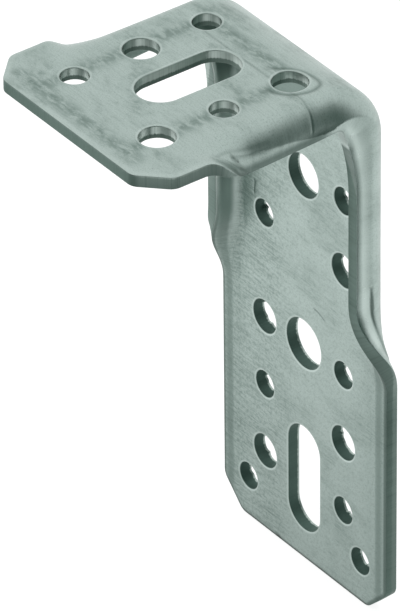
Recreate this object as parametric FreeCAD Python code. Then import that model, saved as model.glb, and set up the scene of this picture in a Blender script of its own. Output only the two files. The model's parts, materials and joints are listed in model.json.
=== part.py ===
import FreeCAD, Part
import math
import os

# Angle anchor: one piece of galvanised steel sheet, pressed into two legs at a right angle.
# Both sides are turned in along the legs and round the fold, and unroll to flat at the free ends.
# X runs across the width. The long leg's outer face lies in y = 0 and hangs down,
# and the short leg's outer face lies in z = 0 and reaches toward minus y.
# The origin is the heel: where the two outer faces would meet, at mid width.

# Sheet and overall size
sheet = 2.5
width = 45.0
short_leg = 50.0
long_leg = 106.5
corner_cut = 5.0
corner_round = 2.5
edge_ease = 0.2

# Fold between the legs, and the turned sides that stiffen it
heel_radius = 11.3
flange_radius = 4.2
flange_set_in = 2.1
short_flange_depth = 7.0
long_flange_depth = 7.0
web_point_along = 10.1
web_point_depth = 5.9
web_point_radius = 2.0
web_curve_end = 21.0
lip_pull = 5.0

# Flat free ends, and the run-outs where the turned sides unroll into them
short_flat_end = 10.0
short_runout = 12.0
long_flat_end = 45.0
long_runout = 17.5
runout_sections = 9

# Nail and screw holes: rows are set out from the free end, columns from the sides
nail_radius = 2.45
screw_radius = 3.1
short_row_end = 9.8
short_row_pitch = 13.3
short_column_side = 11.3
long_row_end = 16.1
long_row_pitch = 13.8
long_row_gap = 20.9
long_column_side = 11.7
corner_hole_end = 8.3
corner_hole_side = 7.0

# Anchor bolt holes and slots on the centre line
upper_anchor_radius = 4.0
upper_anchor_heel = 28.8
middle_anchor_radius = 4.65
middle_anchor_end = 44.1
slot_radius = 4.3
short_slot_heel = 20.2
short_slot_travel = 11.0
long_slot_end = 10.4
long_slot_travel = 12.4

# Values that follow from the ones above
half_width = width / 2
flange_half_width = half_width - flange_set_in
flat_half = flange_half_width - flange_radius
fold_length = (flange_radius - sheet / 2) * math.pi / 2
lip_flat = half_width - flat_half - fold_length
short_flat_start = short_leg - short_flat_end
short_runout_start = short_flat_start - short_runout
long_flat_start = long_leg - long_flat_end
long_runout_start = long_flat_start - long_runout


def vec(x, y, z):
    return FreeCAD.Vector(x, y, z)


def closed_face(points):
    return Part.Face(Part.makePolygon(points + [points[0]]))


# The legs share their shapes: a point lies so far across, along its leg and deep into the sheet
def on_short(x, along, depth):
    return vec(x, -along, -depth)


def on_long(x, along, depth):
    return vec(x, -depth, -along)


# Folded middle: an angle bar with rounded outer edges, less the same bar one sheet smaller
def lip_outline(x, short_end, long_end):
    """Free edge of a turned side: it leaves both legs in line and is drawn in to a point at the fold."""
    point = vec(x, -web_point_along, -web_point_depth)
    short_start = vec(x, short_end, -short_flange_depth)
    long_start = vec(x, -long_flange_depth, -web_curve_end)
    short_pull = short_start + vec(0, lip_pull, 0)
    long_pull = long_start + vec(0, 0, (web_curve_end - web_point_depth) / 2)
    short_curve = Part.BezierCurve()
    short_curve.setPoles([short_start, short_pull, point])
    long_curve = Part.BezierCurve()
    long_curve.setPoles([point, long_pull, long_start])
    return [short_curve.toShape(), long_curve.toShape(),
            Part.makeLine(long_start, vec(x, -long_flange_depth, long_end))]


def clear_outline(x, short_end, long_end):
    """Open side of the bar that is taken away, well clear of the turned sides."""
    clear = max(short_flange_depth, long_flange_depth) + 2 * sheet
    corner = vec(x, -clear, -clear)
    return [Part.makeLine(vec(x, short_end, -clear), corner),
            Part.makeLine(corner, vec(x, -clear, long_end))]


def angle_bar(inset, reach, open_side):
    """Angle bar whose outer faces lie one inset in, with its heel and both outer sides rounded.

    The open side is the outline of the bar's inner faces, from the short leg round to the long one,
    and the reach is how far the bar runs past the start of the run-outs.
    """
    half = flange_half_width - inset
    short_end = -short_runout_start - reach
    long_end = -long_runout_start - reach
    heel = vec(-half, -inset, -inset)
    short_far = vec(-half, short_end, -inset)
    long_far = vec(-half, -inset, long_end)
    inner = Part.Wire(open_side(-half, short_end, long_end))
    ends = [inner.OrderedVertexes[0].Point, inner.OrderedVertexes[-1].Point]
    outer = [Part.makeLine(ends[1], long_far), Part.makeLine(long_far, heel),
             Part.makeLine(heel, short_far), Part.makeLine(short_far, ends[0])]
    bar = Part.Face(Part.Wire(inner.Edges + outer)).extrude(vec(2 * half, 0, 0))

    def edges_at(y, z):
        return [e for e in bar.Edges
                if all(abs(v.Y - y) < 1e-6 and abs(v.Z - z) < 1e-6 for v in e.Vertexes)]

    bar = bar.makeFillet(heel_radius - inset, edges_at(-inset, -inset))
    if open_side is lip_outline:
        bar = bar.makeFillet(web_point_radius, edges_at(-web_point_along, -web_point_depth))

    def on_outer_skin(edge):
        first, last = edge.ParameterRange
        for step in range(5):
            p = edge.valueAt(first + (last - first) * step / 4)
            gap = min(-p.y, -p.z) - inset
            if p.y > -heel_radius and p.z > -heel_radius:
                gap = heel_radius - inset - math.hypot(p.y + heel_radius, p.z + heel_radius)
            if abs(abs(p.x) - half) > 1e-4 or abs(gap) > 1e-4:
                return False
        return True

    return bar.makeFillet(flange_radius - inset, [e for e in bar.Edges if on_outer_skin(e)])


outer_bar = angle_bar(0.0, 0.0, lip_outline)
inner_bar = angle_bar(sheet, 2 * sheet, clear_outline)
folded_middle = outer_bar.cut(inner_bar)


# Run-outs: the turned side unrolls from a right angle to flat
def turned_side_section(place, along, flange_depth, turn):
    """Closed outline of the strip beyond the flat, bent through the given angle.

    The bend keeps its length along the middle of the sheet, so its radius grows as it opens.
    """
    lip_folded = flange_depth - flange_radius
    lip = lip_flat + (lip_folded - lip_flat) * turn / (math.pi / 2)
    if turn < 1e-9:
        corners = [(0.0, 0.0), (fold_length, 0.0), (fold_length + lip, 0.0),
                   (fold_length + lip, sheet), (fold_length, sheet), (0.0, sheet)]
        points = [place(flat_half + beyond, along, depth) for beyond, depth in corners]
        return Part.makePolygon(points + [points[0]])
    outer = fold_length / turn + sheet / 2
    inner = fold_length / turn - sheet / 2

    def on_bend(radius, angle, beyond):
        x = flat_half + radius * math.sin(angle) + beyond * math.cos(angle)
        depth = outer - radius * math.cos(angle) + beyond * math.sin(angle)
        return place(x, along, depth)

    outer_start, outer_middle, outer_end = (on_bend(outer, turn * k / 2, 0.0) for k in range(3))
    inner_start, inner_middle, inner_end = (on_bend(inner, turn * k / 2, 0.0) for k in range(3))
    outer_tip = on_bend(outer, turn, lip)
    inner_tip = on_bend(inner, turn, lip)
    return Part.Wire([
        Part.Arc(outer_start, outer_middle, outer_end).toShape(),
        Part.makeLine(outer_end, outer_tip),
        Part.makeLine(outer_tip, inner_tip),
        Part.makeLine(inner_tip, inner_end),
        Part.Arc(inner_end, inner_middle, inner_start).toShape(),
        Part.makeLine(inner_start, outer_start),
    ])


def runout(place, start, end, flange_depth):
    """Strip on the plus x side that unrolls from the start to the end, easing in and out."""
    sections = []
    for k in range(runout_sections):
        share = k / (runout_sections - 1)
        turn = math.pi / 2 * (1 - share * share * (3 - 2 * share))
        along = start + (end - start) * share
        sections.append(turned_side_section(place, along, flange_depth, turn))
    return Part.makeLoft(sections, True, False)


def flat_strip(place, start, end):
    """Flat of the leg between its two run-outs."""
    outline = closed_face([place(-flat_half, start, 0.0), place(flat_half, start, 0.0),
                           place(flat_half, end, 0.0), place(-flat_half, end, 0.0)])
    return outline.extrude(place(0.0, 0.0, sheet))


def free_end(place, start, end):
    """Full width free end with both corners cut across and the corners of the cuts rounded."""
    inside = half_width - corner_cut
    cut = end - corner_cut
    outline = closed_face([place(-half_width, start, 0.0), place(half_width, start, 0.0),
                           place(half_width, cut, 0.0), place(inside, end, 0.0),
                           place(-inside, end, 0.0), place(-half_width, cut, 0.0)])
    block = outline.extrude(place(0.0, 0.0, sheet))
    through = place(0.0, 0.0, 1.0)
    lengthwise = place(0.0, 1.0, 0.0)
    corners = []
    for edge in block.Edges:
        a, b = (v.Point for v in edge.Vertexes)
        if abs((b - a).dot(through)) > sheet - 1e-6 and a.dot(lengthwise) > (start + cut) / 2:
            corners.append(edge)
    return block.makeFillet(corner_round, corners)


legs = (
    (on_short, short_runout_start, short_flat_start, short_leg, short_flange_depth),
    (on_long, long_runout_start, long_flat_start, long_leg, long_flange_depth),
)
strips = []
for place, runout_start, flat_start, leg, flange_depth in legs:
    side = runout(place, runout_start, flat_start, flange_depth)
    strips += [side, side.mirror(vec(0, 0, 0), vec(1, 0, 0))]
    strips.append(flat_strip(place, runout_start, flat_start))
    strips.append(free_end(place, flat_start, leg))
body = folded_middle.multiFuse(strips).removeSplitter()


# Punched holes
def round_hole(place, x, along, radius):
    return Part.makeCylinder(radius, 3 * sheet, place(x, along, -sheet), place(0, 0, 1))


def slot_hole(place, start, travel):
    """Slot on the centre line with round ends, from its first end centre over its travel."""
    end = start + travel
    corner = place(slot_radius, start, -sheet)
    across = place(slot_radius, end, -sheet)
    far_across = place(-slot_radius, end, -sheet)
    far_corner = place(-slot_radius, start, -sheet)
    outline = Part.Wire([
        Part.makeLine(corner, across),
        Part.Arc(across, place(0, end + slot_radius, -sheet), far_across).toShape(),
        Part.makeLine(far_across, far_corner),
        Part.Arc(far_corner, place(0, start - slot_radius, -sheet), corner).toShape(),
    ])
    return Part.Face(outline).extrude(place(0, 0, 3 * sheet))


def staggered_rows(place, leg, column, from_end, left_first):
    """Pairs of a nail and a screw hole that swap sides from row to row.

    A row that would run into the bend is left out.
    """
    holes = []
    for row, distance in enumerate(from_end):
        along = leg - distance
        if along > heel_radius - sheet / 2:
            swap = (row % 2 == 0) == (left_first == "nail")
            left, right = (nail_radius, screw_radius) if swap else (screw_radius, nail_radius)
            holes.append(round_hole(place, -column, along, left))
            holes.append(round_hole(place, column, along, right))
    return holes


short_rows = [short_row_end + short_row_pitch * k for k in range(3)]
lower_rows = [long_row_end + long_row_pitch * k for k in range(3)]
upper_rows = [lower_rows[-1] + long_row_gap + long_row_pitch * k for k in range(2)]
short_column = half_width - short_column_side
long_column = half_width - long_column_side
corner_column = half_width - corner_hole_side

punched = staggered_rows(on_short, short_leg, short_column, short_rows, "nail")
punched += staggered_rows(on_long, long_leg, long_column, lower_rows + upper_rows, "screw")
for x in (-corner_column, corner_column):
    punched.append(round_hole(on_long, x, long_leg - corner_hole_end, nail_radius))
punched.append(round_hole(on_long, 0.0, upper_anchor_heel, upper_anchor_radius))
punched.append(round_hole(on_long, 0.0, long_leg - middle_anchor_end, middle_anchor_radius))
punched.append(slot_hole(on_short, short_slot_heel, short_slot_travel))
punched.append(slot_hole(on_long, long_leg - long_slot_end - long_slot_travel, long_slot_travel))
body = body.cut(Part.makeCompound(punched)).Solids[0]


# The sheet's outline is eased on both faces.
# Each easing starts at a free end and runs on by itself up the run-outs and along the lips.
def free_end_edges(solid):
    """Edges of both legs' end faces that lie in the flat faces of the sheet."""
    edges = []
    for face in solid.Faces:
        box = face.BoundBox
        if abs(box.YMin + short_leg) < 1e-4 and box.YLength < 1e-4:
            edges += [e for e in face.Edges if e.BoundBox.ZLength < 1e-4]
        if abs(box.ZMin + long_leg) < 1e-4 and box.ZLength < 1e-4:
            edges += [e for e in face.Edges if e.BoundBox.YLength < 1e-4]
    return edges


body = body.makeChamfer(edge_ease, free_end_edges(body)).Solids[0]

os.makedirs("parts", exist_ok=True)
body.exportStep("parts/angle_anchor.step")
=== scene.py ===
import json
import bpy
import numpy as np
from mathutils import Matrix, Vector
from mathutils.geometry import delaunay_2d_cdt


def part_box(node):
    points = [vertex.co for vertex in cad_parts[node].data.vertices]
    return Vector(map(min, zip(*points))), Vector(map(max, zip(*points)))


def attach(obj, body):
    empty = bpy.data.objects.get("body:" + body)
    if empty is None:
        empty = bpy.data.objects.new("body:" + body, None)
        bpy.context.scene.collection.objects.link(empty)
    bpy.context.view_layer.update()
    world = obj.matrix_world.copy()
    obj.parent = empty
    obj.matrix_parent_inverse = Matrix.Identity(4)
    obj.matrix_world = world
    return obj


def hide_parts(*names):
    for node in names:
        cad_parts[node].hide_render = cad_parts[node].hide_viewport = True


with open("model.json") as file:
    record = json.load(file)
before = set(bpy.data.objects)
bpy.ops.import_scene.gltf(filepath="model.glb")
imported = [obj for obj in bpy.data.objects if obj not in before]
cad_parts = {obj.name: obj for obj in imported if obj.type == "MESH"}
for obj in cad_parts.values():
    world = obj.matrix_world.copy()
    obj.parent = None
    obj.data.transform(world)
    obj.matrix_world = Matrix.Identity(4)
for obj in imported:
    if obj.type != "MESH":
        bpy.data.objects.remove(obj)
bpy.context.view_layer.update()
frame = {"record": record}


# Folded sheet
# The whole anchor is one galvanised steel sheet, punched flat and then pressed into an angle.
# Its sides are turned in along both legs and round the fold, and unroll to flat at the free ends.

# Sizes are in millimetres. A place on the sheet is a distance across it from mid width, a run
# along its outer skin from the short leg's free end, and a depth below that skin.
mm = 0.001
low_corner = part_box("angle_anchor")[0]
short_leg = round(-low_corner.y / mm, 2)
long_leg = round(-low_corner.z / mm, 2)
sheet = 2.5
half_width = 22.5
heel_radius = 11.3
flange_radius = 4.2
flange_set_in = 2.1
short_flat_end = 10.0
short_runout = 12.0
long_flat_end = 45.0
long_runout = 17.5

flat_half = half_width - flange_set_in - flange_radius
bend_length = (flange_radius - sheet / 2) * np.pi / 2
bend_end = flat_half + bend_length
lip_flat = half_width - flat_half - bend_length
heel_start = short_leg - heel_radius
heel_end = heel_start + heel_radius * np.pi / 2
whole_run = heel_end + long_leg - heel_radius
short_runout_end = short_flat_end + short_runout
long_flat_start = whole_run - long_flat_end
long_runout_start = long_flat_start - long_runout


def eased(share):
    """Smooth step, 3 s^2 - 2 s^3, of a share held between 0 and 1."""
    share = np.clip(share, 0, 1)
    return share * share * (3 - 2 * share)


def stretch(at, start, rise, end, fall):
    """Share that eases in over a rise from the start, and eases out over a fall up to the end."""
    return eased((at - start) / rise) * eased((end - at) / fall)


def bell(at, middle, spread):
    """Bell curve exp(-d^2) of the distance from its middle, in spreads."""
    return np.exp(-((at - middle) / spread) ** 2)


def side_turn(run):
    """Angle of the turned sides: a right angle between the run-outs, eased to nothing at the flat ends."""
    from_short = (run - short_flat_end) / short_runout
    from_long = (long_flat_start - run) / long_runout
    return np.pi / 2 * eased(np.minimum(from_short, from_long))


lip_lead = 1.2
lip_lag = 1.6
lead_start = 2.0
lead_reach = 5.0
least_turn = 1e-4


def outer_skin(across, run):
    """Place in space of a point of the smooth outer skin, in millimetres.

    Across: flat, then an arc of the side's turn with its length kept, then straight on as the lip.
    Along: up the short leg, a quarter turn round the heel, then down the long leg. The lip turns a
    little after the bend beside it on the short leg, and unrolls a little before it on the long leg.
    """
    beyond = np.abs(across) - flat_half
    still_flat = np.clip(1 - (run - short_flat_end) / short_runout, 0, 1)
    lead = np.where(run > heel_end, lip_lead, -lip_lag * still_flat)
    lead = lead * eased((beyond - lead_start) / lead_reach)
    turn = np.maximum(side_turn(run + lead), least_turn)
    radius = bend_length / turn + sheet / 2
    angle = turn * np.clip(beyond / bend_length, 0, 1)
    lip = np.maximum(beyond - bend_length, 0)
    out = np.minimum(np.abs(across), flat_half) + radius * np.sin(angle) + lip * np.cos(turn)
    down = radius - radius * np.cos(angle) + lip * np.sin(turn)
    heel = np.clip((run - heel_start) / heel_radius, 0, np.pi / 2)
    back = -heel_radius + (heel_radius - down) * np.sin(heel) - np.maximum(heel_start - run, 0)
    rise = -heel_radius + (heel_radius - down) * np.cos(heel) - np.maximum(run - heel_end, 0)
    return np.stack([np.sign(across) * out, back, rise], -1)


def directions(surface, across, run, *depth):
    """Directions of rising across and run on a surface, and the unit normal out of its outer skin.

    Each direction is the difference between two places a small step either side, over both steps.
    """
    step = 1e-3
    cross_way = (surface(across + step, run, *depth) - surface(across - step, run, *depth)) / (2 * step)
    long_way = (surface(across, run + step, *depth) - surface(across, run - step, *depth)) / (2 * step)
    normal = np.cross(cross_way, long_way)
    return cross_way, long_way, normal / np.linalg.norm(normal, axis=-1, keepdims=True)


# Marks of the press, as heights above the skin: a crest where each side's roll meets its lip,
# and on the near side a seam over the roll, a ring round one hole and the folds of a run-out.
# A shift of the crest is a size, a middle and a spread. A height of it is a size and a stretch.
crest_line = 20.5
crest_shifts = [(1.2, 36, 5), (-0.9, 51, 6), (-0.6, 19, 5)]
crest_heights = [(0.46, 14, 5, 57, 7), (0.10, 50, 7, 88, 8), (0.34, 80, 8, 105, 6)]
crest_roll_reach, crest_roll_power = 3.2, 2
crest_lip_reach, crest_lip_power = 3.4, 1.3


def crest_across(run):
    """Line of the crest: the roll's end, drawn down before the heel and up beyond it by bell curves."""
    return sum((shift * bell(run, middle, spread) for shift, middle, spread in crest_shifts), crest_line)


def crest_height(run):
    """Height of the crest: full over the short leg and the heel, low on the long leg, up at its run-out."""
    return sum(height * stretch(run, *span) for height, *span in crest_heights)


def softened(points):
    """Line with its corners cut at a quarter and three quarters of each stretch, three times."""
    line = np.array(points, float)
    for _ in range(3):
        start, end = line[:-1], line[1:]
        cut = np.stack([0.75 * start + 0.25 * end, 0.25 * start + 0.75 * end], 1).reshape(-1, 2)
        line = np.concatenate([line[:1], cut, line[-1:]])
    return line


# Each mark is a line of places across and along, its half width, and its height
roll_seam = softened([(-9.0, 34.3), (0.0, 34.3), (9.0, 34.3), (15.0, 34.6), (16.4, 34.7),
                      (18.4, 34.3), (20.6, 33.8)])
hole_ring = softened([(6.5, 36.5), (7.8, 37.9), (9.1, 39.2), (10.6, 40.0), (12.9, 40.3), (14.9, 40.0),
                      (15.7, 38.2), (15.6, 36.4), (14.9, 34.6), (13.8, 33.2), (12.4, 32.3), (11.0, 31.9)])
fold_ridge = softened([(20.7, 14.3), (21.5, 16.4), (22.3, 18.5), (23.0, 20.4)])
outer_fold = softened([(21.2, 13.8), (21.6, 15.4), (22.2, 17.4)])
inner_fold = softened([(20.5, 17.4), (21.1, 18.4), (21.9, 19.5), (22.7, 20.7)])
short_crease = softened([(20.3, 14.4), (19.6, 16.4), (19.5, 18.5), (19.6, 21.5), (19.8, 25.0)])
long_crease = softened([(20.9, 84.6), (20.7, 88.5), (20.6, 91.9), (20.5, 94.3), (20.6, 97.5), (21.0, 100.2)])
upright_tick = np.array([(-13.3, 82.3), (-13.5, 84.3)])
slant_scratch = softened([(3.0, 98.9), (4.3, 99.1), (5.6, 99.7)])
outer_grooves = [(roll_seam, 0.24, -0.05), (hole_ring, 0.42, -0.085), (short_crease, 0.30, -0.04),
                 (long_crease, 0.32, -0.06), (outer_fold, 0.36, -0.06), (inner_fold, 0.36, -0.06)]
outer_marks = outer_grooves + [(fold_ridge, 0.50, 0.16)]
inner_marks = [(upright_tick, 0.20, 0.08), (slant_scratch, 0.18, 0.05)]
pocket_depth = 0.25
pocket_span = (84, 4, 101, 4)
pocket_step = 0.5
pocket_reach = 3.0


def line_gap(across, run, line):
    """Distance on the sheet to a line: the least of the ways to the nearest point of each stretch."""
    place = np.stack([across, run], -1)[..., None, :] - line[:-1]
    span = line[1:] - line[:-1]
    share = np.clip((place * span).sum(-1) / (span * span).sum(-1), 0, 1)
    return np.linalg.norm(place - share[..., None] * span, axis=-1).min(-1)


def marked(across, run, marks):
    """Sum of the marks' heights, each a bell curve of the distance to its line."""
    return sum(rise * bell(line_gap(across, run, line), 0, width) for line, width, rise in marks)


def pocket(across, run):
    """Depth of the pocket in the long leg's run-out: steep at its crease, easing out to the lip's edge."""
    beyond = across - np.interp(run, long_crease[:, 1], long_crease[:, 0])
    steep = eased((beyond + pocket_step / 2) / pocket_step)
    return pocket_depth * stretch(run, *pocket_span) * steep * np.clip(1 - beyond / pocket_reach, 0, 1)


def on_sheet(across, run, depth):
    """Place of a point of the finished sheet: its depth square to the skin, less the nearer skin's marks.

    The short leg is pressed thinner in its run-out, so there the depth stays in the plane across.
    The crest rises by a hollow curve on either side, a power of the share of the way to its line.
    """
    aside = np.abs(across) - crest_across(run)
    roll_side = np.clip(1 + aside / crest_roll_reach, 0, 1) ** crest_roll_power
    lip_side = np.clip(1 - aside / crest_lip_reach, 0, 1) ** crest_lip_power
    crest = crest_height(run) * np.minimum(roll_side, lip_side)
    outer = 1 - depth / sheet
    outer_height = crest - pocket(across, run) + marked(across, run, outer_marks)
    height = outer * outer_height + (1 - outer) * marked(across, run, inner_marks)
    normal = directions(outer_skin, across, run)[2]
    normal[..., 1] *= run > heel_start
    normal /= np.linalg.norm(normal, axis=-1, keepdims=True)
    return outer_skin(across, run) + (height - depth)[..., None] * normal


# Free edge of the turned sides, drawn as along and depth on the side of the angle
short_flange_depth = 7.0
long_flange_depth = 7.0
web_point = np.array([10.1, 5.9])
web_round = 1.4
web_curve_end = 21.0
lip_pull = 5.0
lip_points = 200
round_points = 20


def curve(start, pull, end, count):
    """Points (1-w)^2 a + 2 w (1-w) b + w^2 c, drawn from a to c by the pull of b."""
    w = np.linspace(0, 1, count)[:, None]
    return (1 - w) ** 2 * start + 2 * w * (1 - w) * pull + w ** 2 * end


def lip_edge():
    """Run and depth of the lip's free edge, from the short leg's run-out to the long leg's.

    A pulled curve comes along each leg to the web's point, which a third curve rounds. Beside the
    heel the run is the angle about its centre, and the depth is the way in from its skin.
    """
    short_start = np.array([short_leg - short_runout_end, short_flange_depth])
    long_start = np.array([long_flange_depth, web_curve_end])
    middle_rise = (web_curve_end - web_point[1]) / 2
    short_side = curve(short_start, short_start - [lip_pull, 0], web_point, lip_points)
    long_side = curve(web_point, long_start - [0, middle_rise], long_start, lip_points)
    short_side = short_side[np.linalg.norm(short_side - web_point, axis=1) > web_round]
    long_side = long_side[np.linalg.norm(long_side - web_point, axis=1) > web_round]
    corner = curve(short_side[-1], web_point, long_side[0], round_points)
    along, down = np.concatenate([short_side, corner[1:-1], long_side]).T
    from_centre = np.hypot(heel_radius - along, heel_radius - down)
    heel_run = heel_start + heel_radius * np.arctan2(heel_radius - along, heel_radius - down)
    on_short = along > heel_radius
    on_long = down > heel_radius
    run = np.select([on_short, on_long], [short_leg - along, heel_end + down - heel_radius], heel_run)
    depth = np.select([on_short, on_long], [down, along], heel_radius - from_centre)
    return run, depth


lip_run, lip_depth = lip_edge()


def half_span(run):
    """Half width of the sheet, measured round the turned side: flat, bend and lip.

    The lip changes from its folded to its flat length as the side unrolls.
    """
    folded = np.interp(run, lip_run, lip_depth) - flange_radius
    lip = lip_flat + (folded - lip_flat) * side_turn(run) / (np.pi / 2)
    return flat_half + bend_length + lip


# Outlines on the unrolled sheet, each with the metal on its left
corner_cut = 5.0
corner_round = 2.5
slot_radius = 4.3
short_slot = (20.2, 31.2)
long_slot = (83.7, 96.1)
corner_points = 6
hole_points = 12
hole_points_per_radius = 7
heel_margin = 4
side_steps = [1.0, 0.6, 0.9, 0.45, 0.9, 0.7, 1.0]
end_step = 1.2


def steps(start, end, size):
    """Even values from the start up to the end, about one size apart and without the end."""
    count = max(1, int(np.ceil(abs(end - start) / size)))
    return np.linspace(start, end, count, endpoint=False)


def spaced(marks, sizes):
    """Even values between each pair of marks in turn, about that stretch's size apart."""
    return np.concatenate([steps(*ends, size) for *ends, size in zip(marks[:-1], marks[1:], sizes)])


def end_corner():
    """Cut corner of a free end: two arcs of an eighth turn, joined by the straight of the cut."""
    tangent = corner_round * np.tan(np.pi / 8)
    first = np.linspace(0, np.pi / 4, corner_points)
    second = np.linspace(np.pi / 4, np.pi / 2, corner_points)
    end_centre = np.array([half_width - corner_cut - tangent, corner_round])
    side_centre = np.array([half_width - corner_round, corner_cut + tangent])
    end_arc = end_centre + corner_round * np.stack([np.sin(first), -np.cos(first)], 1)
    side_arc = side_centre + corner_round * np.stack([np.sin(second), -np.cos(second)], 1)
    straight = np.linspace(end_arc[-1], side_arc[0], corner_points)[1:-1]
    return np.concatenate([end_arc, straight, side_arc])


def sheet_outline():
    """Whole outline: up the plus side, round the long leg's end and back down the other side."""
    corner = end_corner()
    side = spaced([corner[-1, 1], short_flat_end, short_runout_end, heel_start - heel_margin,
                   heel_end + heel_margin, long_runout_start, long_flat_start, whole_run - corner[-1, 1]],
                  side_steps)[1:]
    end_across = steps(0, corner[0, 0], end_step)
    end = np.stack([end_across, np.zeros_like(end_across)], 1)
    far = np.array([0, whole_run])
    plus = np.concatenate([
        end, corner, np.stack([half_span(side), side], 1),
        (far + corner * [1, -1])[::-1], (far + end * [1, -1])[::-1],
    ])
    minus = plus[::-1] * [-1, 1]
    return np.concatenate([plus, minus[1:-1]])


def hole_outline(start, end, radius):
    """Punched hole, clockwise: half circles about its two end centres, joined by a slot's straights."""
    turn = np.linspace(np.pi, 0, max(hole_points, int(radius * hole_points_per_radius)), endpoint=False)
    arc = radius * np.stack([np.cos(turn), np.sin(turn)], 1)
    length = np.linalg.norm(end - start)
    share = steps(0, 1, 1.0 / (1 + length))[:, None] if length > 0 else np.zeros((0, 1))
    right = end + [radius, 0] + share * (start - end)
    left = start - [radius, 0] + share * (end - start)
    return np.concatenate([end + arc, right, start - arc, left])


def long_run(down):
    """Run of a distance down the long leg: the heel's end, and on by what lies beyond the heel's radius."""
    return heel_end + down - heel_radius


hole_start = []
hole_end = []
hole_radius = []
for mount in frame["record"]["mounts"]:
    if mount["kind"] == "bore":
        x, y, z = (p / mm for p in mount["pos_m"])
        centre = (x, short_leg + y) if abs(mount["axis"][2]) > 0.5 else (x, long_run(-z))
        hole_start.append(centre)
        hole_end.append(centre)
        hole_radius.append(mount["dims"]["r_mm"])
hole_start += [(0, short_leg - short_slot[1]), (0, long_run(long_slot[0]))]
hole_end += [(0, short_leg - short_slot[0]), (0, long_run(long_slot[1]))]
hole_radius += [slot_radius, slot_radius]
hole_start = np.array(hole_start)
hole_end = np.array(hole_end)
hole_radius = np.array(hole_radius)


def rim_gap(places):
    """Distance on the sheet to the nearest punched rim: the way to a hole's middle line less its radius."""
    span = hole_end - hole_start
    from_start = places[:, None] - hole_start
    share = (from_start * span).sum(-1) / np.maximum((span * span).sum(-1), 1e-9)
    nearest = from_start - np.clip(share, 0, 1)[..., None] * span
    return (np.linalg.norm(nearest, axis=-1) - hole_radius).min(1)


def edge_gap(places):
    """Distance on the sheet to its outline: the least of the ways to a side, an end and a corner's cut."""
    across, run = np.abs(places[:, 0]), places[:, 1]
    end = np.minimum(run, whole_run - run)
    cut = (half_width - corner_cut - across + end) / np.sqrt(2)
    return np.minimum(np.minimum(half_span(run) - across, end), cut)


# Unrolled sheet: rings along every outline, a grid between them, and triangles over both
edge_roll_width, edge_roll_depth = 1.2, 0.20
hole_roll_width, hole_roll_depth = 0.42, 0.22
spare_gap = 0.5
grid_past_bend = 5
across_steps = [1.25, 0.36, 0.6]
run_steps = [1.2, 0.6, 1.0, 0.5, 1.1, 0.7, 1.2]
grid_clear_of_rim = 1.5
grid_clear_of_edge = 2.2
grid_clear_of_crest = 1.1
row_clear_of_rim = 0.6
row_clear_of_edge = 1.35
crest_rows = (-0.8, -0.4, -0.15, 0, 0.15, 0.4, 0.8)
crest_row_step = 0.5
mark_rows = (-1.8, -1.2, -0.6, 0, 0.6, 1.2, 1.8)
mark_row_step = 0.35
clear_of_mark = 2.2
outlines = [sheet_outline()] + [hole_outline(*h) for h in zip(hole_start, hole_end, hole_radius)]
roll_widths = [edge_roll_width] + [hole_roll_width] * len(hole_radius)
roll_depths = [edge_roll_depth] + [hole_roll_depth] * len(hole_radius)


def inward(loop):
    """Unit directions into the metal: the step from the point before to the point after, turned left."""
    along = np.roll(loop, -1, 0) - np.roll(loop, 1, 0)
    left = np.stack([-along[:, 1], along[:, 0]], 1)
    return left / np.linalg.norm(left, axis=1, keepdims=True)


rings = [loop + width * inward(loop) for loop, width in zip(outlines, roll_widths)]
spare_rings = [loop + (width + spare_gap) * inward(loop) for loop, width in zip(outlines, roll_widths)]
across_lines = spaced([0, flat_half, bend_end, bend_end + grid_past_bend], across_steps)
across_lines = np.concatenate([-across_lines[:0:-1], across_lines])
run_lines = spaced([0, short_flat_end, short_runout_end, heel_start, heel_end, long_runout_start,
                    long_flat_start, whole_run], run_steps)
grid = np.stack(np.meshgrid(across_lines, run_lines), -1).reshape(-1, 2)
off_crest = np.abs(np.abs(grid[:, 0]) - crest_across(grid[:, 1]))
clear_of_crest = (off_crest > grid_clear_of_crest) | (crest_height(grid[:, 1]) == 0)
grid = grid[(rim_gap(grid) > grid_clear_of_rim) & (edge_gap(grid) > grid_clear_of_edge) & clear_of_crest]
crest_runs = steps(crest_heights[0][1], crest_heights[-1][3], crest_row_step)
rows = [np.stack([side * (crest_across(crest_runs) + shift), crest_runs], 1)
        for side in (-1, 1) for shift in crest_rows]
for line, width, rise in outer_marks + inner_marks:
    length = np.concatenate([[0], np.cumsum(np.linalg.norm(np.diff(line, axis=0), axis=1))])
    at = np.linspace(0, length[-1], int(length[-1] / mark_row_step) + 2)
    path = np.stack([np.interp(at, length, line[:, 0]), np.interp(at, length, line[:, 1])], 1)
    along = np.gradient(path, axis=0)
    aside = np.stack([-along[:, 1], along[:, 0]], 1) / np.linalg.norm(along, axis=1, keepdims=True)
    grid = grid[line_gap(*grid.T, line) > clear_of_mark * width]
    rows = [row[line_gap(*row.T, line) > clear_of_mark * width] for row in rows]
    rows += [path + shift * width * aside for shift in mark_rows]
rows = np.concatenate(rows)
rows = rows[(rim_gap(rows) > row_clear_of_rim) & (edge_gap(rows) > row_clear_of_edge)]
flat = np.concatenate(rings + spare_rings + [grid, rows])
ring_start = np.cumsum([0] + [len(r) for r in rings])
ring_edges = np.concatenate([
    np.stack([np.arange(a, b), np.roll(np.arange(a, b), -1)], 1)
    for a, b in zip(ring_start[:-1], ring_start[1:])])
whole_hull, same_place = 0, 1e-6
triangles = np.array(delaunay_2d_cdt(flat.tolist(), ring_edges.tolist(), [], whole_hull, same_place)[2])

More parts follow.
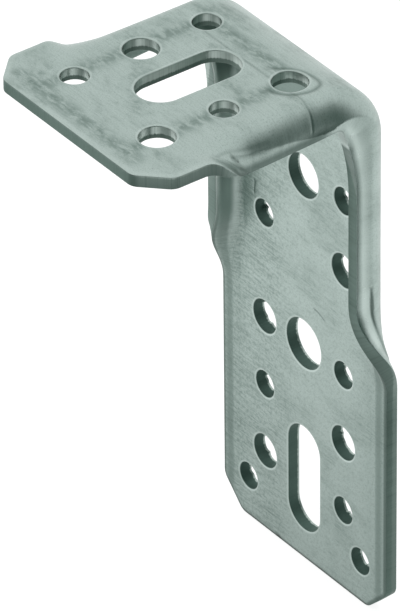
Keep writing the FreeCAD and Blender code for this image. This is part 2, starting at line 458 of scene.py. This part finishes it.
# Triangles outside the outline or inside a hole are dropped, and so are slivers along a straight edge
sliver = 1e-4
corners = flat[triangles]
sides = np.roll(corners, -1, 1) - corners
twice_area = np.abs(sides[:, 0, 0] * sides[:, 1, 1] - sides[:, 0, 1] * sides[:, 1, 0])
too_thin = twice_area < sliver * (sides ** 2).sum(-1).max(1)
ring_of = np.full(len(flat), -1)
ring_of[:ring_start[-1]] = np.repeat(np.arange(len(rings)), np.diff(ring_start))
corner_ring = ring_of[triangles]
in_hole = (corner_ring[:, 0] > 0) & (corner_ring == corner_ring[:, :1]).all(1)
plus_side = rings[0][rings[0][:, 0] >= -1e-9]
plus_side = plus_side[np.argsort(plus_side[:, 1], kind="stable")]
middle = corners.mean(1)
on_metal = np.abs(middle[:, 0]) < np.interp(middle[:, 1], plus_side[:, 1], plus_side[:, 0])
triangles = triangles[on_metal & ~in_hole & ~too_thin]


# Walls of the holes and of the outline: a profile with rolled rims carried round every loop.
# A wall is burnished from the outer skin down to where it tears, as a share of the sheet.
# The back of the long leg's nail and screw holes is torn into small teeth.
roll_angles = np.radians([0, 18, 36, 54, 72, 90])
wall_share = np.array([0.25, 0.5, 0.75])
short_hole_tear = 0.62
long_hole_tear = 0.20
tooth_length = 0.29
tooth_waves = [(1.0, 4, 1.9), (1.0, 7, 2.6), (0.8, 11, 1.0)]
tooth_span = (0, 0.22, 1.3, 1.1)
largest_ragged_hole = 3.6


def rim_profile(width, depth):
    """Inset, depth and lean of the normal at each level: a quarter ellipse, a straight wall, an ellipse."""
    inset = width * (1 - np.sin(roll_angles))
    sunk = depth * (1 - np.cos(roll_angles))
    lean = np.arctan2(depth * np.sin(roll_angles), width * np.cos(roll_angles))
    straight = depth + wall_share * (sheet - 2 * depth)
    return (np.concatenate([inset, 0 * straight, inset[::-1]]),
            np.concatenate([sunk, straight, sheet - sunk[::-1]]),
            np.concatenate([lean, 0 * straight + np.pi / 2, np.pi - lean[::-1]]))


def torn_teeth(loop, number):
    """Lengths of a hole's torn teeth: the upper half of a sum of three waves of the turn round it.

    Each wave has its strength, its count round the hole, and a start that differs from hole to hole.
    """
    from_middle = loop - loop.mean(0)
    turn = np.arctan2(from_middle[:, 1], from_middle[:, 0])
    waves = sum(strength * np.sin(count * turn + start * number) for strength, count, start in tooth_waves)
    return tooth_length * np.maximum(waves, 0)


# The edge's tear and its bare steel change along the run. The far side is less bare by the turned lip.
# Beside the web's point the cut takes the zinc tones instead, a painted lightening.
outline_across, outline_run = outlines[0].T
edge_tear = np.interp(outline_run, [0, 36, 38, 55, 68, 95, 105], [0.15, 0.15, 1.2, 1.2, -0.2, -0.2, 0.45])
edge_bare_and_lit = np.interp(outline_run, [0.2, 0.8, 6, 9, 36, 38, 52, 55, 88, 92, 104, 108],
                      [1, 0.3, 0.3, 0.4, 0.4, 0, 0, 1, 1, 0.8, 0.8, 1])
far_bare = np.interp(outline_run, [30, 45, 80, 95], [1, 0.45, 0.45, 1])
edge_bare_and_lit *= np.where(outline_across < 0, far_bare, 1)
hole_tear = np.where(hole_start[:, 1] < heel_start, short_hole_tear, long_hole_tear)
tear_starts = [edge_tear, *hole_tear]
bare_cuts = [edge_bare_and_lit] + [1.0] * len(hole_radius)
ragged_hole = (hole_start[:, 1] > heel_end) & (hole_radius < largest_ragged_hole)
ragged_hole = np.concatenate([[False], ragged_hole])
teeth = [torn_teeth(loop, number) * ragged_hole[number] for number, loop in enumerate(outlines)]

count = len(flat)
vertices = [on_sheet(*flat.T, 0.0), on_sheet(*flat.T, sheet)]
normals = [directions(on_sheet, *flat.T, 0.0)[2], -directions(on_sheet, *flat.T, sheet)[2]]
places = [flat, flat]
wall = [np.zeros(count), np.zeros(count)]
depths = [np.zeros(count), np.full(count, sheet)]
torn_from = [np.zeros(count), np.zeros(count)]
bare = [np.ones(count), np.ones(count)]
quads = []
next_vertex = 2 * count
for loop, first, roll_width, roll_depth, tear, bare_cut, tooth in zip(
        outlines, ring_start, roll_widths, roll_depths, tear_starts, bare_cuts, teeth):
    level_inset, level_depth, level_lean = rim_profile(roll_width, roll_depth)
    tooth_share = stretch(level_depth, *tooth_span)
    into = inward(loop)
    around = np.arange(len(loop))
    index = np.empty((len(level_inset), len(loop)), int)
    index[0] = first + around
    index[-1] = count + first + around
    for level in range(1, len(level_inset) - 1):
        spot = loop + (level_inset[level] - tooth_share[level] * tooth)[:, None] * into
        cross_way, long_way, out = directions(on_sheet, *spot.T, level_depth[level])
        aside = -(into[:, :1] * cross_way + into[:, 1:] * long_way)
        aside /= np.linalg.norm(aside, axis=1, keepdims=True)
        index[level] = next_vertex + around
        vertices.append(on_sheet(*spot.T, level_depth[level]))
        normals.append(np.cos(level_lean[level]) * out + np.sin(level_lean[level]) * aside)
        places.append(spot)
        wall.append(np.full(len(loop), np.sin(level_lean[level])))
        depths.append(np.full(len(loop), level_depth[level]))
        torn_from.append(np.full(len(loop), tear))
        bare.append(np.full(len(loop), bare_cut))
        next_vertex += len(loop)
    ahead = np.roll(index, -1, 1)
    quads.append(np.stack([index[:-1], index[1:], ahead[1:], ahead[:-1]], -1).reshape(-1, 4))

vertices = np.concatenate(vertices) * mm
normals = np.concatenate(normals)
places = np.concatenate(places)
faces = triangles.tolist() + (triangles[:, ::-1] + count).tolist() + np.concatenate(quads).tolist()
mesh = bpy.data.meshes.new("folded_sheet")
mesh.from_pydata(vertices.tolist(), [], faces)
mesh.shade_smooth()
mesh.normals_split_custom_set_from_vertices(normals.tolist())

# Where the finish differs and where shade and highlights are painted, as shares over the sheet. Inner is 0
# on the outer skin and 1 on the inner.
# Each stretch is a start, the length of its rise, an end and the length of its fall, in millimetres.
inner = np.concatenate(depths) / sheet
outer = 1 - inner
across, run = places.T
aside = np.abs(across)
side_gap = half_span(run) - aside
outline_gap = edge_gap(places)
# Painted shade in the grooves and scratches of the marks
groove_full, scratch_full = 0.1, 0.06
groove_shade_share = -marked(across, run, outer_grooves) / groove_full * outer
groove_shade_share += marked(across, run, inner_marks) / scratch_full * inner
pad_spread = 1.7
pad_lines = [np.array(line, float) for line in (
    [(-17, 3.2), (14, 3.2)], [(-12, 4), (-12, 33)], [(11.5, 4), (11.5, 33)], [(-9, 37.2), (9, 37.2)])]
# Painted sheen: a lighter tone along the near lip's outer skin past the heel, and on the inner skin of both
# turned sides
sheen_spread = 1.5
sheen_line = softened([(23.2, 43), (24.0, 50), (23.4, 62), (23.2, 75), (22.8, 84.5), (22.2, 88.6),
                        (22.0, 91.3), (22.4, 94.5)])
lip_sheen = bell(line_gap(across, run, sheen_line), 0, sheen_spread) * eased((side_gap - 0.3) / 1.2)
bend_sheen = 1.25 * eased((aside - 17) / 3) * eased((100 - run) / 12)
# Painted shade: a darker band over the rolled-over sides of the long leg near its free end, on the inner
# skin
rolled_over_shade = np.interp(side_gap, [0, 0.3, 0.7, 0.95, 1.35, 2.6, 3.1], [0.45, 0.6, 0.5, 0.15, 1, 0.9, 0])
long_free_end = eased((run - 84) / 14)
turned_lip = stretch(run, 42, 6, 92, 12)
nicks = 0.7 * bell(across, -7.4, 0.5) + 0.4 * bell(across, 4.2, 0.4)
finish_and_painted_light = {
    "wall": np.concatenate(wall),
    "depth": inner,
    "torn_from": np.concatenate(torn_from),
    "bare": np.concatenate(bare),
    "rim_gap": np.maximum(rim_gap(places), 0),
    "side": eased((aside - 15) / 3),
    "groove_shade": np.clip(groove_shade_share, 0, 1),
    "pad": np.max([bell(line_gap(across, run, line), 0, pad_spread) for line in pad_lines], 0) * outer,
    "painted_sheen": lip_sheen * outer + bend_sheen * inner,
    "rolled_over_shade": rolled_over_shade * long_free_end * inner,
    "long_edge_shade": eased((0.85 - outline_gap) / 0.5) * long_free_end * inner,
    "lip_rim_highlight": eased((0.75 - side_gap) / 0.2) * turned_lip * inner,
    "lip_shade": bell(side_gap, 1.35, 0.45) * turned_lip * inner,
    # Painted highlight along the short leg's free end, on the outer skin
    "edge_highlight": eased((1.3 - outline_gap) / 0.8) * eased((14 - run) / 5) * outer,
    "end_line": eased((0.55 + nicks - (whole_run - run)) / 0.35) * inner,
    "under_lip_shade": eased((2.6 - side_gap) / 1.6) * stretch(run, 13, 5, 39, 4) * outer,
    "heel_shade": stretch(run, 36, 3, 66, 6) * eased((7 - across) / 4) * inner,
    "dull_side": eased((-1 - across) / 8) * eased((run - heel_end) / 6) * inner,
}
for name, values in finish_and_painted_light.items():
    attribute = mesh.attributes.new(name, "FLOAT", "POINT")
    attribute.data.foreach_set("value", values.astype(np.float32))
unrolled_unit = 100
corner_vertex = np.empty(len(mesh.loops), int)
mesh.loops.foreach_get("vertex_index", corner_vertex)
unrolled = mesh.uv_layers.new(name="unrolled")
unrolled.uv.foreach_set("vector", (places[corner_vertex] / unrolled_unit).astype(np.float32).ravel())
folded_sheet = bpy.data.objects.new("folded_sheet", mesh)
bpy.context.scene.collection.objects.link(folded_sheet)

# Zinc coating: clean, dull and bright zinc in patches, streaks and mottling, with grime in specks and on the
# cut walls, painted shade in the marks, inside the heel and along the lips and edges, painted highlights on
# the rims, lips and bends, and bare or torn steel on the cut walls
zinc = bpy.data.materials.new("galvanised_steel")
zinc.use_nodes = True
tree = zinc.node_tree


def node(kind, inputs=(), **settings):
    """New shader node in the tree at hand: its settings, and its inputs as values or sockets to link."""
    made = tree.nodes.new("ShaderNode" + kind)
    for name, value in settings.items():
        setattr(made, name, value)
    for name, value in dict(inputs).items():
        if isinstance(value, bpy.types.NodeSocket):
            tree.links.new(value, made.inputs[name])
        else:
            made.inputs[name].default_value = value
    return made


def reading(name):
    """Value of one of the sheet's own attributes."""
    return node("Attribute", attribute_name=name).outputs["Fac"]


def between(value, start, end, low=0.0, high=1.0):
    """Value eased from low at the start to high at the end."""
    reach = {"Value": value, "From Min": start, "From Max": end, "To Min": low, "To Max": high}
    return node("MapRange", reach, interpolation_type="SMOOTHSTEP").outputs["Result"]


def plus(first, second):
    """Sum of two values."""
    return node("Math", {0: first, 1: second}, operation="ADD").outputs[0]


def less(first, second):
    """First value less the second."""
    return node("Math", {0: first, 1: second}, operation="SUBTRACT").outputs[0]


def times(first, second):
    """Product of two values."""
    return node("Math", {0: first, 1: second}, operation="MULTIPLY").outputs[0]


def larger(first, second):
    """Larger of two values."""
    return node("Math", {0: first, 1: second}, operation="MAXIMUM").outputs[0]


def blend(share, first, second):
    """Colour changed from the first to the second by a share."""
    made = node("Mix", data_type="RGBA")
    for socket, value in ((made.inputs[0], share), (made.inputs[6], first), (made.inputs[7], second)):
        if isinstance(value, bpy.types.NodeSocket):
            tree.links.new(value, socket)
        else:
            socket.default_value = value
    return made.outputs[2]


unrolled_place = node("UVMap", uv_map="unrolled").outputs["UV"]


def noise(across_scale, run_scale, detail, roughness, shift=0.0, distortion=0.0):
    """Cloud noise on the unrolled sheet, with its own scale across and along."""
    spread = node("Mapping", {"Vector": unrolled_place, "Scale": (across_scale, run_scale, 1),
                              "Location": (shift, shift, shift)})
    made = node("TexNoise", {"Vector": spread.outputs[0], "Scale": 1.0, "Detail": detail,
                             "Roughness": roughness, "Distortion": distortion})
    return made.outputs["Fac"]


on_wall = between(reading("wall"), 0.40, 0.85)
inner_skin = reading("depth")
on_side = reading("side")
from_rim = reading("rim_gap")
torn_start = reading("torn_from")
bare_steel = reading("bare")
painted_sheen = reading("painted_sheen")
clouds = noise(6, 10, 6, 0.70, 0.0, 0.4)
smudges = noise(40, 90, 5, 0.65, 3.1, 0.3)
cross_streaks = noise(24, 430, 3, 0.65, 1.7)
grain = noise(420, 420, 3, 0.65, 5.0)
specks = noise(150, 150, 1, 0.5, 11.0)
mottle = noise(150, 150, 3, 0.7, 17.0)
ragged = noise(260, 260, 3, 0.6, 8.0)
scuffs = plus(times(cross_streaks, 0.55), times(mottle, 0.45))

clean_zinc = (0.430, 0.518, 0.487, 1)
# Dull zinc for real dull patches, and also painted shade inside the heel, beside the lips and along the
# rolled-over sides
dull_zinc_and_shade = (0.175, 0.240, 0.215, 1)
# Bright zinc for burnished cuts, and also painted highlights on hole rims, lips, bends, the short leg's free
# end and the cut by the web's point
bright_zinc_and_highlight = (0.565, 0.660, 0.625, 1)
# Painted highlight along the rims of the lips
painted_lip_highlight = (0.80, 0.87, 0.84, 1)
# Grime for real specks and blotches on the cuts, and also painted shade in the grooves, under the short
# leg's lips and along the long leg's free end
grime_and_shade = (0.085, 0.130, 0.112, 1)
end_shade = (0.028, 0.046, 0.039, 1)
burnished_hole = (0.46, 0.54, 0.505, 1)
burnished_edge = (0.150, 0.205, 0.184, 1)
torn_edge = (0.185, 0.262, 0.232, 1)
# Torn hole walls: painted shaded on the long leg, painted lit on the short leg
shaded_torn_hole = (0.108, 0.174, 0.150, 1)
lit_torn_hole = (0.220, 0.290, 0.260, 1)

# Skin: layers over the clean zinc in turn, each with its share and its colour
patch_share = less(less(0.75, times(inner_skin, 0.45)), times(on_side, 0.35))
patches = times(times(between(clouds, 0.46, 0.64), between(smudges, 0.36, 0.64, 0.25, 1.0)), patch_share)
padded = times(reading("pad"), between(smudges, 0.34, 0.62, 0.15, 0.95))
streak_share = plus(0.22, times(inner_skin, between(clouds, 0.44, 0.62, -0.18, 0.20)))
streak_share = less(streak_share, times(on_side, 0.10))
rim_highlight_share = plus(0.45, times(inner_skin, 0.25))
skin = clean_zinc
for share, tone in (
        (larger(patches, padded), dull_zinc_and_shade),
        (times(between(cross_streaks, 0.44, 0.72), streak_share), dull_zinc_and_shade),
        (between(grain, 0.48, 0.74, 0.0, 0.62), dull_zinc_and_shade),
        (times(between(mottle, 0.48, 0.66), times(inner_skin, 0.28)), dull_zinc_and_shade),
        (times(reading("dull_side"), between(scuffs, 0.42, 0.60, 0.04, 0.52)), dull_zinc_and_shade),
        (between(specks, 0.76, 0.82, 0.0, 0.5), grime_and_shade),
        # Painted sheen on the near lip and inside the turned sides, and a painted highlight along the short
        # leg's free end
        (larger(times(painted_sheen, 0.8), times(reading("edge_highlight"), 0.3)), bright_zinc_and_highlight),
        # Painted shade inside the heel
        (times(reading("heel_shade"), 0.85), dull_zinc_and_shade),
        (times(reading("lip_shade"), 0.45), dull_zinc_and_shade),
        # Painted highlight along the rims of the lips
        (reading("lip_rim_highlight"), painted_lip_highlight),
        # Painted shade along the long leg's rolled-over sides near its free end
        (times(reading("rolled_over_shade"), 0.7), dull_zinc_and_shade),
        # Painted shade along the lower edge of the short leg's lips
        (times(reading("under_lip_shade"), 0.8), grime_and_shade),
        # Painted shade in the grooves and scratches
        (times(reading("groove_shade"), 0.75), grime_and_shade),
        # Painted shade along the edges of the long leg's free end
        (times(reading("long_edge_shade"), 0.8), grime_and_shade),
        (reading("end_line"), end_shade),
        # Painted highlight in a ring round each hole's rim
        (times(between(from_rim, 0.52, 0.28), rim_highlight_share), bright_zinc_and_highlight)):
    skin = blend(share, skin, tone)

# Cut walls: burnished where the punch went in and torn beyond, with an uneven line between.
# Torn hole walls are painted lit on the short leg and painted shaded on the long leg.
in_hole_wall = between(from_rim, 0.30, 0.02)
uneven = times(less(ragged, 0.5), 0.22)
torn = between(less(plus(inner_skin, uneven), torn_start), -0.05, 0.05)
burnished = blend(in_hole_wall, blend(bare_steel, bright_zinc_and_highlight, burnished_edge), burnished_hole)
torn_wall = blend(between(torn_start, 0.3, 0.5), shaded_torn_hole, lit_torn_hole)
torn_cut = blend(in_hole_wall, blend(bare_steel, clean_zinc, torn_edge), torn_wall)
cut = blend(torn, burnished, torn_cut)
cut = blend(between(ragged, 0.45, 0.75, 0.0, 0.3), cut, grime_and_shade)
colour = blend(on_wall, skin, cut)

dullness = plus(between(clouds, 0.3, 0.75, 0.30, 0.40), times(cross_streaks, 0.08))
dullness = plus(dullness, times(times(on_wall, torn), 0.25))
dullness = plus(dullness, times(times(inner_skin, on_side), 0.15))
dullness = less(dullness, times(times(painted_sheen, less(1.0, inner_skin)), 0.10))
streak_relief = less(0.45, times(inner_skin, 0.30))
relief = plus(times(cross_streaks, streak_relief), times(grain, 0.5))
relief = plus(relief, times(mottle, times(inner_skin, 0.5)))
relief = plus(relief, times(on_wall, ragged))
bump = node("Bump", {"Height": relief, "Strength": 0.35, "Distance": 0.00005})
surface = tree.nodes["Principled BSDF"]
surface.inputs["Metallic"].default_value = 1.0
tree.links.new(colour, surface.inputs["Base Color"])
tree.links.new(dullness, surface.inputs["Roughness"])
tree.links.new(bump.outputs["Normal"], surface.inputs["Normal"])
mesh.materials.append(zinc)
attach(folded_sheet, "root")
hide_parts("angle_anchor")


# Floor
# A plain white table top under the long leg's free end, with its front and right edges close by,
# and a white card laid in front that lights the inside of the angle. Both are white to the camera
# and in the metal, with a painted shadow that makes them greyer by the foot in the metal, and keep a faint
# soft shadow.
floor_drop = 0.0002
floor_level = -long_leg * mm - floor_drop
table_corners = [(0.19, 0.096), (0.19, 1.2), (-1.5, 1.2), (-1.5, -1.570)]
card_corners = [(0.26, -0.170), (0.26, -0.040), (0.054, -0.040), (0.01, -0.083), (0.01, -0.170)]
table_white = 0.88
table_matt = (0.35, 0.35, 0.35, 1)
foot_shadow_grey, away_white, shadow_reach = 0.70, 1.02, 0.13
floor_mesh = bpy.data.meshes.new("floor")
floor_points = [(x, y, floor_level) for x, y in table_corners + card_corners]
floor_mesh.from_pydata(floor_points, [], [(0, 1, 2, 3), (4, 5, 6, 7, 8)])
floor = bpy.data.objects.new("floor", floor_mesh)
bpy.context.scene.collection.objects.link(floor)
pale = bpy.data.materials.new("white_table")
pale.use_nodes = True
tree = pale.node_tree
tree.nodes.clear()
light_path = node("LightPath").outputs
level_place = node("VectorMath", {0: node("TexCoord").outputs["Object"], 1: (1, 1, 0)}, operation="MULTIPLY")
from_foot = node("VectorMath", {0: level_place.outputs[0]}, operation="LENGTH").outputs["Value"]
seen_in_metal = larger(light_path["Is Glossy Ray"], light_path["Is Transmission Ray"])
# Painted shadow: the table and card seen in the metal are greyer near the foot
seen_in_metal = times(seen_in_metal, between(from_foot, 0.0, shadow_reach, foot_shadow_grey, away_white))
shown = larger(light_path["Is Camera Ray"], seen_in_metal)
glow = node("Emission", {"Color": (1, 1, 1, 1), "Strength": times(shown, table_white)})
matt = node("BsdfDiffuse", {"Color": table_matt})
both = node("AddShader", {0: glow.outputs[0], 1: matt.outputs[0]})
node("OutputMaterial", {"Surface": both.outputs[0]})
floor_mesh.materials.append(pale)


# Light
# A studio with a wide soft light to the left and behind, and a dark side to the right.
# The camera itself sees a plain white backdrop.
dark_side = (0.93, -0.32, 0.18)
dark_green = (0.05, 0.095, 0.078, 1)
white = (1, 1, 1, 1)
light_edge = (0.26, 0.63)
horizon = (-0.45, -0.20)
light_below = 0.2
world = bpy.data.worlds.new("studio")
world.use_nodes = True
bpy.context.scene.world = world
tree = world.node_tree
tree.nodes.clear()
direction = node("TexCoord").outputs["Generated"]
facing = node("VectorMath", {0: direction, 1: dark_side}, operation="DOT_PRODUCT").outputs["Value"]
height = node("SeparateXYZ", {"Vector": direction}).outputs["Z"]
lit = times(between(facing, *light_edge, 1.0, 0.0), between(height, *horizon, light_below, 1.0))
studio = blend(lit, dark_green, white)
seen = blend(node("LightPath").outputs["Is Camera Ray"], studio, white)
backdrop = node("Background", {"Color": seen, "Strength": 1.0})
node("OutputWorld", {"Surface": backdrop.outputs[0]})


# Camera
# A long lens from above and in front of the right side, as the photograph was taken.
# It looks at a point in the angle, moved aside and up, and its lens is set by the picture's height.
azimuth, elevation, roll_angle = np.radians([53.617, 34.563, -0.569])
camera_distance = 1484.904
focal_pixels = 9039.692
image_height = 611
look_at = np.array([0.0, -20.0, -45.0])
moved_right, moved_up = -3.028, -1.939
level_back = np.array([np.sin(azimuth), -np.cos(azimuth), 0])
level_right = np.array([np.cos(azimuth), np.sin(azimuth), 0])
backward = np.cos(elevation) * level_back + np.array([0, 0, np.sin(elevation)])
level_up = np.cross(backward, level_right)
right = level_right * np.cos(roll_angle) + level_up * np.sin(roll_angle)
up = level_up * np.cos(roll_angle) - level_right * np.sin(roll_angle)
camera_data = bpy.data.cameras.new("camera")
camera_data.sensor_width = 36.0
camera_data.lens = focal_pixels * camera_data.sensor_width / image_height
camera_data.clip_start = 0.1
camera_data.clip_end = 20
camera = bpy.data.objects.new("camera", camera_data)
place = (look_at + right * moved_right + up * moved_up + backward * camera_distance) * mm
camera.matrix_world = Matrix([[right[k], up[k], backward[k], place[k]] for k in range(3)] + [[0, 0, 0, 1]])
bpy.context.scene.collection.objects.link(camera)
bpy.context.scene.camera = camera
bpy.context.scene.view_settings.view_transform = "Standard"
